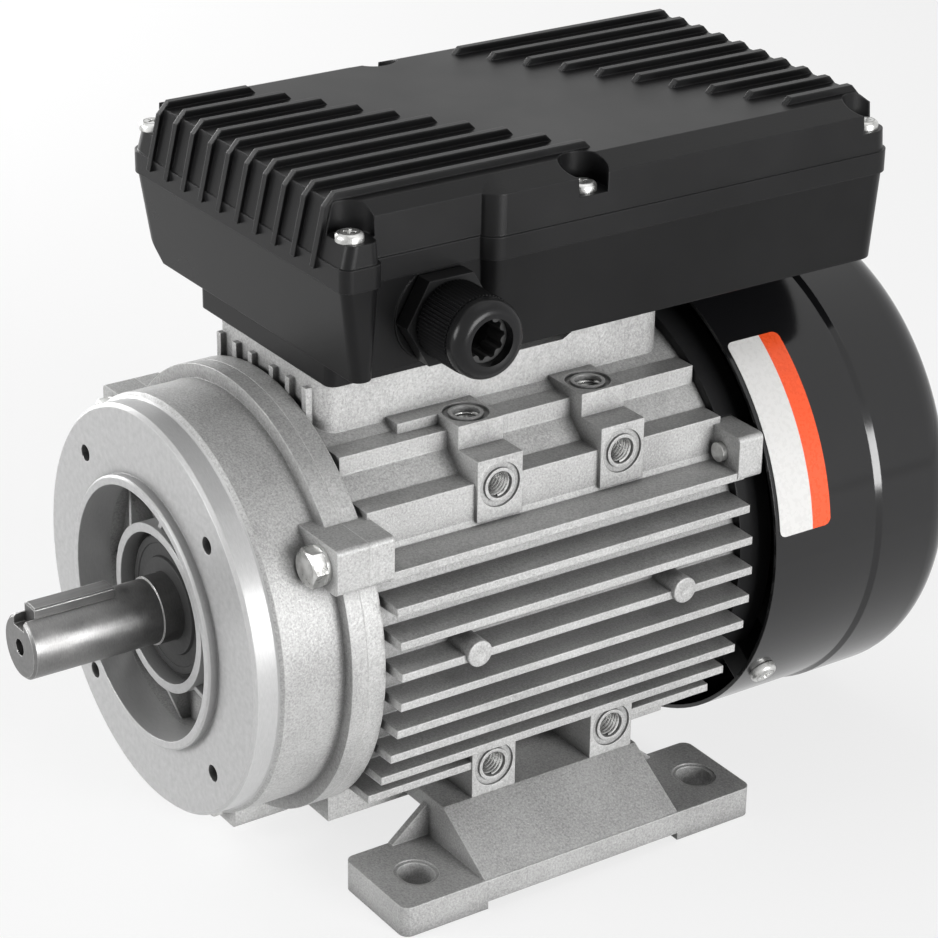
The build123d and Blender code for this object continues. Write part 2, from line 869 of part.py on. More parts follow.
def pan_screw_x(head_radius, shank_radius, length):
    """Pan-head screw along -X with its seat at x = 0."""
    head = extrude(Plane.YZ * Circle(head_radius), amount=1.4)
    dome = extrude(Plane.YZ.offset(1.4) * Circle(head_radius), amount=1.2, taper=35)
    shank = extrude(Plane.YZ * Circle(shank_radius), amount=-length)
    return head + dome + shank


def cowl_screws():
    screw = Pos(cowl_radius, cowl_screw_place, 0) * pan_screw_x(4.2, 1.5, 8)
    return [about_shaft(screw, angle) for angle in cowl_screw_angles]


def box_outline(side_near, side_far, y_front, y_rear, corner=box_corner):
    return rectangle(-side_far, y_front, side_near, y_rear, corner)


def box_block(z_from, z_to, low, high):
    """Tapered block between two rounded outlines given as (near, far, front, rear)."""
    return loft([Pos(0, 0, z_from) * box_outline(*low), Pos(0, 0, z_to) * box_outline(*high)])


def box_body(z_from, z_to, shrink_low, shrink_high, front_low, front_high):
    """Box form with the set-back stretch of wall at the front of the near side."""
    main = box_block(
        z_from,
        z_to,
        (box_half - shrink_low, box_half - shrink_low, box_step_y + shrink_low, box_rear - shrink_low),
        (box_half - shrink_high, box_half - shrink_high, box_step_y + shrink_high, box_rear - shrink_high),
    )
    front = box_block(
        z_from,
        z_to,
        (box_recess_x - shrink_low, box_half - shrink_low, front_low, box_step_y + 30),
        (box_recess_x - shrink_high, box_half - shrink_high, front_high, box_step_y + 30),
    )
    return main + front


def corner_column(z_from, z_to, shrink_low, shrink_high, front_low, front_high):
    """Full-width corner of the near side at the front, ahead of the set-back wall."""
    low = rectangle(40, front_low, box_half - shrink_low, box_column_rear - shrink_low, box_column_corner)
    high = rectangle(40, front_high, box_half - shrink_high, box_column_rear - shrink_high, box_column_corner)
    return loft([Pos(0, 0, z_from) * low, Pos(0, 0, z_to) * high])


def screw_places():
    return [(side * lid_screw_x, place) for side in (-1, 1) for place in lid_screw_places]


def terminal_box_base():
    """Moulded box base: drafted walls, screw pillars, floor opening and plinth."""
    draft = box_draft
    outer = box_body(box_bottom, box_seam, draft, 0, box_front + 3.7, box_front)
    outer += corner_column(box_bottom, box_seam, draft, 0, box_front + 3.7, box_front)
    chamfer_cut = outline(
        (-box_half - 5, box_bottom - 1),
        (-box_half + box_far_chamfer + 1, box_bottom - 1),
        (-box_half - 5, box_bottom + box_far_chamfer + 5),
    )
    outer -= along_y(chamfer_cut, box_front - 5, box_rear + 5)
    cavity = box_body(
        box_bottom + box_floor,
        box_seam + 1,
        box_wall + draft,
        box_wall,
        box_front + box_wall + 3.7,
        box_front + box_wall,
    )
    inner_chamfer = Pos(box_wall * 1.4, 0, box_floor) * along_y(chamfer_cut, box_front - 5, box_rear + 5)
    shell = outer - (cavity - inner_chamfer)
    for x, y in screw_places():
        shell += round_z(5.0, box_bottom + box_floor - 1, box_seam, x, y) & outer
        shell -= round_z(1.7, box_seam - 14, box_seam + 1, x, y)
    plinth = along_z(rectangle(-plinth_half, plinth_front, plinth_half, plinth_rear, 3.0), pedestal_top, box_bottom + 1)
    shell += plinth
    shell -= block(
        -lead_opening_half,
        lead_opening_half,
        lead_opening_front,
        lead_opening_rear,
        pedestal_top - 1,
        box_bottom + box_floor + 1,
    )
    for place in box_screw_places:
        shell -= both_sides(round_z(2.3, pedestal_top - 1, box_bottom + box_floor + 1, box_screw_x, place))
    pad = round_x(gland_pad_radius, box_recess_x - gland_wall, box_recess_x, gland_y, gland_z)
    shell += pad & block(0, 100, 0, 100, box_bottom, box_seam)
    shell -= round_x(gland_thread_radius + 0.15, box_recess_x - 12, box_recess_x + 5, gland_y, gland_z)
    return shell


def lid_rib(x, group):
    """One rib of the lid: over the edge and along the top, ending on the slanted bare band."""
    top = lid_top + lid_rib_height
    low = lid_band_top - 3
    if group == "front":
        end = band_front_y + band_slope * x
        profile = outline(
            (box_front - 1.8, low),
            (box_front + 2.0, lid_top - 1.5),
            (box_front + 5.2, top),
            (end - 2, top),
            (end, lid_top),
            (end, lid_top - 1),
            (box_front + 6, lid_top - 1),
            (box_front + 1.2, low),
        )
    else:
        start = band_rear_y + band_slope * x
        profile = outline(
            (start, lid_top - 1),
            (start, lid_top),
            (start + 2, top),
            (box_rear - 5.2, top),
            (box_rear - 2.0, lid_top - 1.5),
            (box_rear + 1.8, low),
            (box_rear - 1.2, low),
            (box_rear - 6, lid_top - 1),
        )
    return along_x(profile, x - lid_rib_width / 2, x + lid_rib_width / 2)


def terminal_box_lid():
    """Ribbed moulded lid with a rim band, sloping shoulders and six screw pockets."""
    lean = lid_front_lean
    rim = (-lid_band, -lid_band, box_front - lid_band, box_front - lid_band)
    outer = box_body(box_seam, lid_band_top, *rim) + corner_column(box_seam, lid_band_top, *rim)
    outer += box_body(lid_band_top, lid_shoulder, 0, 0.5, box_front, box_front + lean * 0.8)
    outer += corner_column(lid_band_top, lid_pocket_floor, 0, 0.3, box_front, box_front + lean * 0.4)
    crown_main = box_block(
        lid_shoulder,
        lid_top,
        (box_half - 0.5, box_half - 0.5, box_step_y + 0.5, box_rear - 0.5),
        (box_half - lid_slope, box_half - lid_slope, box_step_y + 3, box_rear - lean),
    )
    crown_front = box_block(
        lid_shoulder,
        lid_top,
        (box_recess_x - 0.5, box_half - 0.5, box_front + lean * 0.8, box_step_y + 30),
        (box_half - lid_slope, box_half - lid_slope, box_front + lean, box_step_y + 30),
    )
    outer += crown_main + crown_front
    shell = outer - box_body(
        box_seam - 1,
        lid_shoulder + 0.5,
        lid_wall,
        lid_wall + 2,
        box_front + lid_wall,
        box_front + lid_wall + 3,
    )
    for x, y in screw_places():
        shell += round_z(lid_pocket_radius + 2, box_seam, lid_top, x, y) & outer
        shell -= round_z(lid_pocket_radius, lid_pocket_floor, lid_top + 5, x, y)
        shell -= round_z(lid_screw_radius + 0.2, box_seam - 1, lid_pocket_floor + 1, x, y)
    for index in range(lid_rib_count):
        x = (index - (lid_rib_count - 1) / 2) * lid_rib_pitch
        shell += lid_rib(x, "front")
        shell += lid_rib(x, "rear")
    for x, y in screw_places():
        shell -= round_z(lid_pocket_radius, lid_pocket_floor, lid_top + 5, x, y)
    return shell


def lid_screws():
    pieces = []
    for x, y in screw_places():
        head = round_z(lid_screw_head_radius, lid_pocket_floor, lid_pocket_floor + 1.2, x, y)
        dome = extrude(Pos(x, y, lid_pocket_floor + 1.2) * Circle(lid_screw_head_radius), amount=1.2, taper=35)
        shank = round_z(1.6, box_seam - 12, lid_pocket_floor, x, y)
        pieces.append(head + dome + shank)
    return pieces


def box_screws():
    pieces = []
    seat = box_bottom + box_floor
    for side in (-1, 1):
        for place in box_screw_places:
            x = side * box_screw_x
            head = round_z(4.2, seat, seat + 2.4, x, place)
            pieces.append(head + round_z(1.9, pedestal_top - 7, seat, x, place))
    return pieces


def capacitor_height(radius):
    return box_bottom + box_floor + radius + clip_gap + clip_sheet + 0.1


def capacitor(x, y_from, length, radius):
    """Plastic-cased capacitor lying along the box, with two flat tabs."""
    centre = capacitor_height(radius)
    can = along_y(Pos(x, centre) * Circle(radius), y_from, y_from + length)
    tabs = block(x - 6.5, x - 5.5, y_from - 8, y_from, centre - 3, centre + 3)
    tabs += block(x + 5.5, x + 6.5, y_from - 8, y_from, centre - 3, centre + 3)
    return can + tabs


def capacitor_clip(x, y, radius):
    """Spring clip that holds a capacitor down on the box floor."""
    centre = capacitor_height(radius)
    section = Pos(x, centre) * Circle(radius + clip_gap + clip_sheet)
    section += rectangle(x - 9, box_bottom + box_floor, x + 9, centre - radius * 0.8)
    section -= Pos(x, centre) * Circle(radius + clip_gap)
    section -= rectangle(x - 30, centre + radius * 0.55, x + 30, centre + 60)
    return along_y(section, y - 6, y + 6)


def terminal_board():
    floor = box_bottom + box_floor
    board = block(-board_half, board_half, board_front, board_rear, floor + 4, floor + 7)
    for x in (-board_half + 4, board_half - 4):
        board += round_z(3.5, floor, floor + 4, x, (board_front + board_rear) / 2)
    return board


def terminal_studs():
    floor = box_bottom + box_floor
    pieces = []
    for x in stud_columns:
        for y in stud_rows:
            section = Pos(x, y) * RegularPolygon(3.5, 6, major_radius=False)
            stud = round_z(1.9, floor + 7, floor + 17, x, y)
            nut = along_z(section, floor + 8, floor + 11)
            pieces.append(stud + nut)
    return pieces


def terminal_links():
    floor = box_bottom + box_floor
    middle = sum(stud_rows) / 2
    length = stud_rows[1] - stud_rows[0] + 7
    pieces = []
    for x in (stud_columns[0], stud_columns[-1]):
        strap = along_z(Pos(x, middle) * Rot(0, 0, 90) * SlotOverall(length, 6.4), floor + 7, floor + 7.95)
        for y in stud_rows:
            strap -= round_z(2.0, floor + 6, floor + 9, x, y)
        pieces.append(strap)
    return pieces


def earth_screw():
    floor = box_bottom + box_floor
    screw = round_z(3.8, floor, floor + 2.4, -33, 47)
    return screw - block(-36, -30, 46.6, 47.4, floor + 1.6, floor + 3)


def gland_body():
    """Gland body: hexagon flange outside the wall, thread through it and a clamping nose."""
    wall = box_recess_x
    bore = cable_radius + 1.6
    body = along_x(Pos(gland_y, gland_z) * RegularPolygon(gland_hex / 2, 6, major_radius=False), wall + 0.7, wall + 6)
    body += round_x(gland_thread_radius, wall - 9, wall + 1, gland_y, gland_z)
    body += round_x(gland_thread_radius - 0.3, wall + 6, wall + 15, gland_y, gland_z)
    return body - round_x(bore, wall - 10, wall + 20, gland_y, gland_z)


def gland_locknut():
    wall = box_recess_x - gland_wall
    nut = along_x(Pos(gland_y, gland_z) * RegularPolygon(11, 6, major_radius=False), wall - 4, wall - 0.05)
    return nut - round_x(gland_thread_radius + 0.02, wall - 10, wall + 2, gland_y, gland_z)


def gland_nut():
    """Domed clamping nut."""
    wall = box_recess_x
    tip = gland_tip
    radius = gland_hex / 2
    profile = outline(
        (gland_thread_radius - 0.28, wall + 6.3),
        (radius - 0.6, wall + 6.3),
        (radius - 0.3, wall + 7.5),
        (radius - 0.3, tip - 5),
        (radius - 1.5, tip - 1.8),
        (radius - 3.6, tip),
        (cable_radius + 1.2, tip),
        (cable_radius + 0.5, tip - 1.5),
        (cable_radius + 0.5, wall + 16.5),
        (gland_thread_radius - 0.28, wall + 16),
    )
    ring = revolve(profile, axis=Axis.Y)
    return Pos(0, gland_y, gland_z) * Rot(0, 0, -90) * ring


def gland_seal():
    """Rubber seal inside the gland, gripping the cable."""
    wall = box_recess_x
    bore = cable_radius + 1.6
    ring = tube(bore - 0.02, cable_radius, wall + 4, wall + 15)
    return Pos(0, gland_y, gland_z) * Rot(0, 0, -90) * ring


def gland_washer():
    ring = tube(gland_thread_radius + 1.0, gland_thread_radius + 0.02, box_recess_x, box_recess_x + 0.7)
    return Pos(0, gland_y, gland_z) * Rot(0, 0, -90) * ring


def lead_bundle():
    """Motor leads from the end turns up through the pedestal to the terminal board."""
    start = 53.05
    level = box_bottom + box_floor + 5.5
    end = board_front - 0.05
    path = FilletPolyline((0, 51.5, start), (0, 51.5, level), (0, end, level), radius=5)
    return sweep(Plane(origin=(0, 51.5, start)) * Circle(3.2), path=path)


def governor_hub():
    """Plate pressed on the shaft with two pairs of ears for the flyweights."""
    rear = governor_front + governor_plate
    body = tube(20, core_shaft_radius + press_gap, governor_front, rear)
    for side in (0, 180):
        arm = block(18, 30, governor_front, rear, -8, 8)
        ear = block(24.5, 29.5, governor_front, pivot_y + 2, 6.2, 7.8)
        ear += block(24.5, 29.5, governor_front, pivot_y + 2, -7.8, -6.2)
        body += about_shaft(arm + ear, side)
        hole = round_z(pivot_pin + sliding_gap, -10, 10, pivot_radius, pivot_y)
        body -= about_shaft(hole, side)
    return body


def governor_weight(side):
    """Flyweight: mass towards the rotor and a finger in the collar's groove."""
    mass = block(24.5, 31.5, governor_front + 3.2, pivot_y + 1.9, -5.8, 5.8)
    finger = block(pivot_radius - finger_reach, 25, pivot_y - 0.7, pivot_y + 0.7, -3, 3)
    pin = round_z(pivot_pin, -9, 9, pivot_radius, pivot_y)
    return about_shaft(mass + finger + pin, side)


def governor_collar():
    """Sliding collar with the groove for the fingers and a flange that works the switch."""
    inner = core_shaft_radius + sliding_gap
    groove_front = pivot_y - groove_half
    groove_rear = pivot_y + groove_half
    return turned(
        (inner, collar_front),
        (19.5, collar_front),
        (19.5, groove_front),
        (15.8, groove_front),
        (15.8, groove_rear),
        (21, groove_rear),
        (21, collar_rear),
        (inner, collar_rear),
    )


def switch_plate():
    """Fixed insulating plate with the contact arm that the collar presses."""
    return tube(34, 22, switch_plate_front, switch_plate_rear)


def switch_contact():
    spring_front = collar_rear + running_gap
    arm = block(-6, 6, spring_front, spring_front + 0.8, 19, 33)
    return arm + block(-6, 6, spring_front, switch_plate_front, 28, 33)


def blank_label():
    """Plain sticker on the near side of the cowl."""
    ring = tube(cowl_radius + 0.25, cowl_radius + 0.05, label_front, label_rear)
    corners = [(0, 0)]
    for angle in label_angles:
        corners.append((90 * cos(radians(angle)), 90 * sin(radians(angle))))
    middle = radians(sum(label_angles) / 2)
    corners.insert(2, (110 * cos(middle), 110 * sin(middle)))
    return ring & along_y(outline(*corners), label_front - 5, label_rear + 5)


add("stator_frame", stator_frame())
add("drive_end_shield", drive_end_shield())
add("rear_end_shield", rear_end_shield())
add("drive_shield_bolts", *shield_bolts(front_ear_seat, 1, 21.2))
add("rear_shield_bolts", *shield_bolts(rear_ear_end, -1, 17.2))
add("right_foot", foot())
add("left_foot", mirror(foot(), about=Plane.YZ))
add("foot_bolts", *foot_bolts())
add("stator_core", stator_core())
add("windings", windings())
add("shaft", shaft())
add("shaft_key", shaft_key())
add("rotor_core", rotor_core())
add("rotor_end_rings", *rotor_end_rings())
for name, front in (("drive", drive_bearing_front), ("rear", rear_bearing_front)):
    add(name + "_bearing_outer_ring", outer_ring(front))
    add(name + "_bearing_inner_ring", inner_ring(front))
    add(name + "_bearing_balls", ball_cage(front))
    add(name + "_bearing_seals", *bearing_seals(front))
add("shaft_seal", shaft_seal())
add("wave_washer", wave_washer())
add("fan", fan())
add("fan_clip", fan_clip())
add("fan_cowl", fan_cowl())
add("cowl_screws", *cowl_screws())
add("blank_label", blank_label())
add("terminal_box_base", terminal_box_base())
add("terminal_box_lid", terminal_box_lid())
add("lid_screws", *lid_screws())
add("box_screws", *box_screws())
add("start_capacitor", capacitor(22, 122, 80, 18.0))
add("run_capacitor", capacitor(-20, 128, 62, 16.0))
add("capacitor_clips", capacitor_clip(22, 162, 18.0), capacitor_clip(-20, 162, 16.0))
add("terminal_board", terminal_board())
add("terminal_studs", *terminal_studs())
add("terminal_links", *terminal_links())
add("earth_screw", earth_screw())
add("gland_body", gland_body())
add("gland_washer", gland_washer())
add("gland_locknut", gland_locknut())
add("gland_nut", gland_nut())
add("gland_seal", gland_seal())
add("motor_leads", lead_bundle())
add("governor_hub", governor_hub())
add("governor_weight_right", governor_weight(0))
add("governor_weight_left", governor_weight(180))
add("governor_collar", governor_collar())
add("switch_plate", switch_plate())
add("switch_contact", switch_contact())

os.makedirs("parts", exist_ok=True)
for name, shape in nodes.items():
    export_step(shape, f"parts/{name}.step")
    print(name, len(shape.solids()), round(shape.volume, 1))
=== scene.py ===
import bmesh
import bpy
import json
from math import atan2, cos, pi, radians, sin
from mathutils import Matrix, Vector


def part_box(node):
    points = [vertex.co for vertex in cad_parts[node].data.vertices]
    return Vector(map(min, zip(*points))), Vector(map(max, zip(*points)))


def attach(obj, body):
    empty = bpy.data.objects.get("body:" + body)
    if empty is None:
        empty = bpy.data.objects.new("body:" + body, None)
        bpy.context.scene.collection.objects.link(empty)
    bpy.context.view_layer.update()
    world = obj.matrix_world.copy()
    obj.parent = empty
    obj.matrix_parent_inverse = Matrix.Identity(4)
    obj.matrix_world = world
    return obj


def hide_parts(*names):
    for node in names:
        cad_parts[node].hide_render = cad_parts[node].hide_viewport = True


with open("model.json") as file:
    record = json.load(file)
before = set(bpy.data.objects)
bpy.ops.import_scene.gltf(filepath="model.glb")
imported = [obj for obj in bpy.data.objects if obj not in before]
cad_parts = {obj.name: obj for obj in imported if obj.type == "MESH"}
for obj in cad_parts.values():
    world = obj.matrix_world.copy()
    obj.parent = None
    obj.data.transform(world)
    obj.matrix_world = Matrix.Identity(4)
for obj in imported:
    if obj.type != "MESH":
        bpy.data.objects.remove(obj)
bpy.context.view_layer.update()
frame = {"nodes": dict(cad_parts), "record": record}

# camera

cameraSetup = {
    "azimuth": 55.81,  # degrees round the motor
    "elevation": 24.98,
    "roll": 0.79,
    "place": (0.66423, -0.4425, 0.47121),
    "lens": 113.9,
}


def addCamera(setup):
    a, e, r = (radians(setup[k]) for k in ("azimuth", "elevation", "roll"))
    back = Vector((sin(a) * cos(e), -cos(a) * cos(e), sin(e)))
    right = Vector((cos(a), sin(a), 0))
    up = back.cross(right)
    x = cos(r) * right + sin(r) * up
    y = -sin(r) * right + cos(r) * up
    turn = Matrix((x, y, back)).transposed().to_4x4()
    bpy.ops.object.camera_add()
    camera = bpy.context.object
    camera.name = "photoCamera"
    camera.matrix_world = Matrix.Translation(setup["place"]) @ turn
    camera.data.lens = setup["lens"]
    camera.data.sensor_width = 36
    bpy.context.scene.camera = camera


bpy.ops.object.select_all(action="DESELECT")
addCamera(cameraSetup)
print("camera set")

# shader maths


class Wire:  # one output socket, so that shader maths reads as plain expressions
    def __init__(self, mat, socket):
        self.mat, self.socket = mat, socket

    def math(self, kind, *others, flip=False):
        values = [self, *others]
        if flip:
            values.reverse()
        return self.mat.node("Math", {"operation": kind}, *values)

    def __add__(self, other):
        return self.math("ADD", other)

    def __radd__(self, other):
        return self.math("ADD", other)

    def __sub__(self, other):
        return self.math("SUBTRACT", other)

    def __rsub__(self, other):
        return self.math("SUBTRACT", other, flip=True)

    def __mul__(self, other):
        return self.math("MULTIPLY", other)

    def __rmul__(self, other):
        return self.math("MULTIPLY", other)

    def __lt__(self, other):
        return self.math("LESS_THAN", other)


class Finish:  # a material and the nodes in it
    def __init__(self, name, **sockets):
        self.data = bpy.data.materials.new(name)
        self.data.use_nodes = True
        self.tree = self.data.node_tree
        self.shader = self.tree.nodes["Principled BSDF"]
        for key, value in sockets.items():
            self.shader.inputs[key.replace("_", " ")].default_value = value
        self.point = Wire(self, self.tree.nodes.new("ShaderNodeTexCoord").outputs["Object"])

    def node(self, kind, settings=None, *values, out=0, **named):
        made = self.tree.nodes.new("ShaderNode" + kind)
        for key, value in (settings or {}).items():
            setattr(made, key, value)
        pairs = list(enumerate(values)) + [(k.replace("_", " "), v) for k, v in named.items()]
        for key, value in pairs:
            if isinstance(value, Wire):
                self.tree.links.new(value.socket, made.inputs[key])
            elif value is not None:
                made.inputs[key].default_value = value
        return Wire(self, made.outputs[out])

    def feed(self, key, wire):
        self.tree.links.new(wire.socket, self.shader.inputs[key])

    def noise(self, scale, detail=3, roughness=0.55, at=None):
        place = at or self.point
        return self.node("TexNoise", {}, Vector=place, Scale=scale, Detail=detail, Roughness=roughness)

    def ramp(self, wire, low, high, bottom=0.0, top=1.0):
        return self.node("MapRange", {"clamp": True}, wire, low, high, bottom, top)

    def mix(self, amount, a, b):
        a, b = ((*c, 1) if isinstance(c, tuple) and len(c) == 3 else c for c in (a, b))
        made = self.node("Mix", {"data_type": "RGBA"}, amount, out=2)
        ends = made.socket.node.inputs
        for index, value in ((6, a), (7, b)):  # the colour ends of a mix node
            if isinstance(value, Wire):
                self.tree.links.new(value.socket, ends[index])
            else:
                ends[index].default_value = value
        return made

    def axis(self, letter):
        return self.node("SeparateXYZ", {}, self.point, out="XYZ".index(letter))

    def stretched(self, scale):
        return self.node("Mapping", {}, Vector=self.point, Scale=scale)

    def rounded(self, radius):  # the normal with its corners rounded off
        return self.node("Bevel", {"samples": 4}, Radius=radius)

    def edges(self, radius, strength=1.0):  # 1 on worn corners, from the rounded normal
        soft = self.rounded(radius)
        sharp = self.node("NewGeometry", out=1)
        dot = self.node("VectorMath", {"operation": "DOT_PRODUCT"}, soft, sharp, out=1)
        return self.ramp(dot, 1.0, 0.86, 0.0, strength)

    def paintedCreaseShade(self, reach, strength=0.8):  # 1 deep in grooves and gaps, for painted shade there
        openness = self.node("AmbientOcclusion", {"samples": 6}, Distance=reach, out=1)
        return self.ramp(openness, 0.3, 0.8, strength, 0.0)

    def bump(self, height, distance, strength=1.0, normal=None):
        made = self.node("Bump", {}, Strength=strength, Distance=distance, Height=height)
        if normal:
            self.tree.links.new(normal.socket, made.socket.node.inputs["Normal"])
        return made


grey = (1.0, 1.0, 1.0)
castLook = {
    # reach of the painted shade in grooves and gaps
    "paintedShadeReach": 0.008,
    "machinedTone": 0.44,
    "machinedTo": -0.0925,  # machined ahead of this y
}


def shade(level, tint=grey):
    return tuple(level * k for k in tint)


def castAluminium(name, tone=0.4, grain=1.0, edge=0.0006, machined=False):
    mat = Finish(name, Metallic=0.25, Roughness=0.5)
    cloud = mat.noise(38, 4)
    speck = mat.noise(1500, 2, 0.7)
    flecks = mat.ramp(mat.noise(2600, 1, 0.5), 0.62, 0.72)
    dark = shade(tone * 0.7, (1.0, 0.995, 0.985))
    pale = shade(min(1, tone * 1.22), (1.0, 1.0, 0.99))
    base = mat.mix(mat.ramp(speck * 0.65 + cloud * 0.35, 0.36, 0.64), dark, pale)
    base = mat.mix(flecks * 0.3, base, (0.75, 0.75, 0.74))
    rough = mat.ramp(cloud, 0.3, 0.7, 0.42, 0.55)
    height = speck * 0.7 + mat.noise(420, 3) * 0.6
    worn = mat.edges(edge, 0.45)
    if machined:
        front = mat.axis("Y") < castLook["machinedTo"]
        turned = mat.noise(1.0, 2, 0.6, mat.stretched((500, 9000, 500)))
        level = castLook["machinedTone"]
        bright = mat.mix(mat.ramp(turned, 0.3, 0.7), shade(level * 0.9), shade(level * 1.08))
        base = mat.mix(front, base, bright)
        rough = rough - front * 0.12
        height = height * (1 - front * 0.9)
    base = mat.mix(worn, base, (0.72, 0.72, 0.71))
    # painted shade: grooves, gaps and creases darkened towards near black
    mat.feed("Base Color", mat.mix(mat.paintedCreaseShade(castLook["paintedShadeReach"]), base, shade(0.05)))
    mat.feed("Roughness", rough - worn * 0.08)
    mat.feed("Normal", mat.bump(height, 0.00035 * grain, 0.55, mat.rounded(edge)))
    return mat


grindLines = {"Y": (2600, 60, 2600), "ring": (900, 4200, 900)}  # along the motor, or round it


def groundSteel(name, tone, rough, along):
    mat = Finish(name, Metallic=1.0)
    lines = mat.noise(1.0, 2, 0.6, mat.stretched(grindLines[along]))
    blotch = mat.noise(90, 4)
    pale = shade(tone, (1.25, 1.24, 1.22))
    base = mat.mix(mat.ramp(lines * 0.5 + blotch * 0.5, 0.3, 0.7), shade(tone * 0.72), pale)
    worn = mat.edges(0.0003, 0.7)
    mat.feed("Base Color", mat.mix(worn, base, (0.75, 0.75, 0.74)))
    mat.feed("Roughness", mat.ramp(blotch, 0.3, 0.7, rough * 0.85, rough * 1.35))
    mat.feed("Normal", mat.bump(lines, 0.00006, 0.5, mat.rounded(0.0003)))
    return mat


def zincSteel(name, tone=0.62):
    mat = Finish(name, Metallic=0.95)
    blotch = mat.noise(260, 4)
    dull, bright = shade(tone, (0.7, 0.7, 0.68)), shade(tone, (1.2, 1.2, 1.18))
    mat.feed("Base Color", mat.mix(mat.ramp(blotch, 0.35, 0.65), dull, bright))
    mat.feed("Roughness", mat.ramp(blotch, 0.3, 0.7, 0.24, 0.4))
    mat.feed("Normal", mat.bump(mat.noise(1800, 2), 0.00004, 0.5, mat.rounded(0.0003)))
    return mat


def mouldedPlastic(name, tone=0.013, rough=0.36, grain=0.5, edge=0.0006, tint=(1, 1, 1.04)):
    mat = Finish(name, IOR=1.5, Specular_IOR_Level=0.16)
    grains = mat.noise(1700, 2, 0.6)
    cloud = mat.noise(22, 3)
    worn = mat.edges(edge, 0.5)
    base = mat.mix(mat.ramp(cloud, 0.3, 0.7), shade(tone * 0.8, tint), shade(tone * 1.25, tint))
    mat.feed("Base Color", mat.mix(worn, base, shade(min(1, tone * 2.2 + 0.01), tint)))
    mat.feed("Roughness", mat.ramp(cloud, 0.3, 0.7, rough * 0.88, rough * 1.15))
    mat.feed("Normal", mat.bump(grains, 0.00005 * grain, 0.5, mat.rounded(edge)))
    return mat


def glossPaint(name, tone=0.006):
    mat = Finish(name, IOR=1.5)
    peel = mat.noise(420, 2)
    dust = mat.ramp(mat.noise(3000, 1), 0.68, 0.76)
    worn = mat.edges(0.0004, 0.35)
    base = mat.mix(dust * 0.15, shade(tone, (1, 1, 1.1)), shade(0.05))
    mat.feed("Base Color", mat.mix(worn, base, shade(0.05)))
    mat.feed("Roughness", mat.ramp(mat.noise(30, 3), 0.3, 0.7, 0.1, 0.17))
    mat.feed("Normal", mat.bump(peel, 0.00003, 0.35, mat.rounded(0.0004)))
    return mat


def rubber(name, tone=0.018):
    mat = Finish(name, Roughness=0.6)
    grains = mat.noise(900, 3)
    mat.feed("Base Color", mat.mix(mat.ramp(grains, 0.3, 0.7), shade(tone * 0.7), shade(tone * 1.5)))
    mat.feed("Roughness", mat.ramp(grains, 0.3, 0.7, 0.5, 0.68))
    mat.feed("Normal", mat.bump(grains, 0.00006, 0.5, mat.rounded(0.0003)))
    return mat


def copperWindings(name):
    mat = Finish(name, Metallic=0.85)
    strands = mat.noise(1.0, 2, 0.5, mat.stretched((2400, 300, 2400)))
    base = mat.mix(mat.ramp(strands, 0.35, 0.65), (0.16, 0.045, 0.015), (0.52, 0.2, 0.07))
    mat.feed("Base Color", base)
    mat.feed("Roughness", mat.ramp(strands, 0.3, 0.7, 0.25, 0.42))
    mat.feed("Normal", mat.bump(strands, 0.0002, 0.7))
    return mat


def laminations(name):
    mat = Finish(name, Metallic=0.9)
    sheet = mat.node("TexWave", {"bands_direction": "Y"}, Vector=mat.point, Scale=320.0)
    mat.feed("Base Color", mat.mix(sheet, (0.12, 0.12, 0.13), (0.36, 0.36, 0.37)))
    mat.feed("Roughness", mat.ramp(mat.noise(300, 3), 0.3, 0.7, 0.35, 0.55))
    mat.feed("Normal", mat.bump(sheet, 0.0001, 0.6))
    return mat


def plainMetal(name, colour, rough=0.3, metallic=1.0):
    mat = Finish(name, Metallic=metallic)
    blotch = mat.noise(220, 4)
    dull, bright = shade(0.75, colour), tuple(min(1, k * 1.15) for k in colour)
    mat.feed("Base Color", mat.mix(mat.ramp(blotch, 0.3, 0.7), dull, bright))
    mat.feed("Roughness", mat.ramp(blotch, 0.3, 0.7, rough * 0.8, rough * 1.3))
    mat.feed("Normal", mat.bump(mat.noise(1500, 2), 0.00004, 0.5, mat.rounded(0.0003)))
    return mat


shaftHeight = 0.08
labelLook = {
    "paper": (0.6, 0.595, 0.585),
    "band": (0.78, 0.085, 0.02),
    "bandFrom": 0.0805,  # metres along the motor
    "blur": 0.00005,
    "radius": 0.0747,
    "angles": (7, 53.5),  # degrees up from the side
    "along": (0.0683, 0.0873),
    "corner": 0.0022,
}


def labelFilm(name, look):
    mat = Finish(name, IOR=1.48)
    weave = mat.noise(700, 3)
    along = mat.axis("Y")
    band = mat.ramp(along, look["bandFrom"] - look["blur"], look["bandFrom"] + look["blur"])
    red = mat.mix(mat.ramp(weave, 0.3, 0.7), shade(0.94, look["band"]), look["band"])
    paper = mat.mix(mat.ramp(weave, 0.3, 0.7), shade(0.97, look["paper"]), look["paper"])
    mat.feed("Base Color", mat.mix(band, paper, red))
    mat.feed("Roughness", mat.ramp(weave, 0.3, 0.7, 0.24, 0.32))
    mat.feed("Normal", mat.bump(weave, 0.00002, 0.4))
    angle = (mat.axis("Z") - shaftHeight).math("ARCTAN2", mat.axis("X"))
    first, last = (radians(k) * look["radius"] for k in look["angles"])
    start, end = look["along"]
    gaps = []  # how far a point lies into the rounded corners, both ways
    for wire, low, high in ((angle * look["radius"], first, last), (along, start, end)):
        away = (wire - (low + high) / 2).math("ABSOLUTE") - ((high - low) / 2 - look["corner"])
        gaps.append(away.math("MAXIMUM", 0.0))
    corner = (gaps[0] * gaps[0] + gaps[1] * gaps[1]).math("SQRT")
    mat.feed("Alpha", corner < look["corner"])
    return mat


